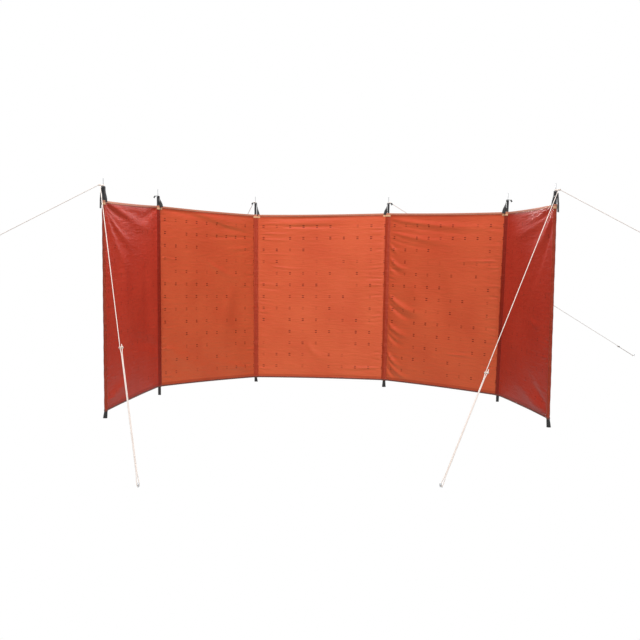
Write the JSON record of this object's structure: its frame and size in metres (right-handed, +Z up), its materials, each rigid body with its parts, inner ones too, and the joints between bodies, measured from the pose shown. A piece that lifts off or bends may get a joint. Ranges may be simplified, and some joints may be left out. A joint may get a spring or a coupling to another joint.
{
  "type": "beach windbreak",
  "caption": "Free-standing windbreak of red-orange cloth bays on steel poles in an arc, with webbing straps, guy ropes, runners and ground pegs",
  "frame": {"origin": "at ground level under the middle of the box around the whole part", "axes": "+Z up, +X from the first pole to the last, +Y away from the hollow side of the arc"},
  "size_m": [7.7746, 5.9766, 1.42],
  "materials": {
    "cloth": "translucent ripstop cloth",
    "sleeve_cloth": "doubled ripstop cloth",
    "pole_steel": "dark coated tube",
    "bright_steel": "plain steel",
    "webbing": "woven webbing",
    "foot_plastic": "moulded plastic",
    "rope": "braided cord",
    "runner_plastic": "moulded plastic"
  },
  "bodies": {
    "root": {"foot_1": "foot_plastic", "foot_2": "foot_plastic", "foot_3": "foot_plastic", "foot_4": "foot_plastic", "foot_5": "foot_plastic", "foot_6": "foot_plastic", "panel_1": "cloth", "panel_2": "cloth", "panel_3": "cloth", "panel_4": "cloth", "panel_5": "cloth", "peg_front_left": "bright_steel", "peg_front_right": "bright_steel", "peg_rear_left": "bright_steel", "peg_rear_right": "bright_steel", "peg_side_left": "bright_steel", "peg_side_right": "bright_steel", "pole_1": "pole_steel", "pole_2": "pole_steel", "pole_3": "pole_steel", "pole_4": "pole_steel", "pole_5": "pole_steel", "pole_6": "pole_steel", "rope_front_left": "rope", "rope_front_right": "rope", "rope_rear_left": "rope", "rope_rear_right": "rope", "rope_side_left": "rope", "rope_side_right": "rope", "runner_front_left": "runner_plastic", "runner_front_right": "runner_plastic", "runner_rear_left": "runner_plastic", "runner_rear_right": "runner_plastic", "runner_side_left": "runner_plastic", "runner_side_right": "runner_plastic", "sleeve_1": "sleeve_cloth", "sleeve_2": "sleeve_cloth", "sleeve_3": "sleeve_cloth", "sleeve_4": "sleeve_cloth", "sleeve_5": "sleeve_cloth", "sleeve_6": "sleeve_cloth", "spike_1": "bright_steel", "spike_2": "bright_steel", "spike_3": "bright_steel", "spike_4": "bright_steel", "spike_5": "bright_steel", "spike_6": "bright_steel", "strap_1": "webbing", "strap_2": "webbing", "strap_3": "webbing", "strap_4": "webbing", "strap_5": "webbing", "strap_6": "webbing"}
  },
  "joints": []
}
